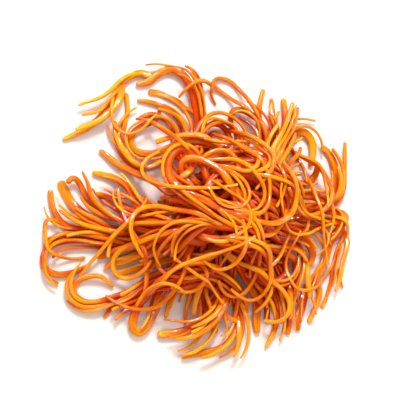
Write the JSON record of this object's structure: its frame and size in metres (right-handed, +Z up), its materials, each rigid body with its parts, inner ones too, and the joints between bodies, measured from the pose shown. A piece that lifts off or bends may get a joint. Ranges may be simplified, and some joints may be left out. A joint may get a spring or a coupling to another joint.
{
  "type": "dried cordyceps",
  "caption": "Growth of cultivated cordyceps: a low foot cut flat underneath, with long thin orange fruiting bodies that fan out from it and lie over each other in a loose tangle.",
  "frame": {"origin": "middle of the foot's flat cut face, on the surface that the growth lies on", "axes": "+Z up, away from the cut face; the widest spread of the strands runs along +X"},
  "size_m": [0.0981, 0.0895, 0.0207],
  "materials": {
    "foot": "moist matted fungus, ochre to orange",
    "fruiting_body": "wet, translucent orange fungus flesh with fine lengthwise lines"
  },
  "bodies": {
    "root": {"foot": "foot", "strand_01": "fruiting_body", "strand_02": "fruiting_body", "strand_03": "fruiting_body", "strand_04": "fruiting_body", "strand_05": "fruiting_body", "strand_06": "fruiting_body", "strand_07": "fruiting_body", "strand_08": "fruiting_body", "strand_09": "fruiting_body", "strand_10": "fruiting_body", "strand_11": "fruiting_body", "strand_12": "fruiting_body", "strand_13": "fruiting_body", "strand_14": "fruiting_body", "strand_15": "fruiting_body", "strand_16": "fruiting_body", "strand_17": "fruiting_body", "strand_18": "fruiting_body", "strand_19": "fruiting_body", "strand_20": "fruiting_body", "strand_21": "fruiting_body", "strand_22": "fruiting_body", "strand_23": "fruiting_body", "strand_24": "fruiting_body", "strand_25": "fruiting_body", "strand_26": "fruiting_body", "strand_27": "fruiting_body", "strand_28": "fruiting_body", "strand_29": "fruiting_body", "strand_30": "fruiting_body", "strand_31": "fruiting_body", "strand_32": "fruiting_body", "strand_33": "fruiting_body", "strand_34": "fruiting_body", "strand_35": "fruiting_body", "strand_36": "fruiting_body", "strand_37": "fruiting_body", "strand_38": "fruiting_body", "strand_39": "fruiting_body", "strand_40": "fruiting_body", "strand_41": "fruiting_body", "strand_42": "fruiting_body", "strand_43": "fruiting_body", "strand_44": "fruiting_body", "strand_45": "fruiting_body", "strand_46": "fruiting_body", "strand_47": "fruiting_body", "strand_48": "fruiting_body", "strand_49": "fruiting_body", "strand_50": "fruiting_body", "strand_51": "fruiting_body", "strand_52": "fruiting_body", "strand_53": "fruiting_body", "strand_54": "fruiting_body", "strand_55": "fruiting_body", "strand_56": "fruiting_body", "strand_57": "fruiting_body", "strand_58": "fruiting_body", "strand_59": "fruiting_body"}
  },
  "joints": []
}
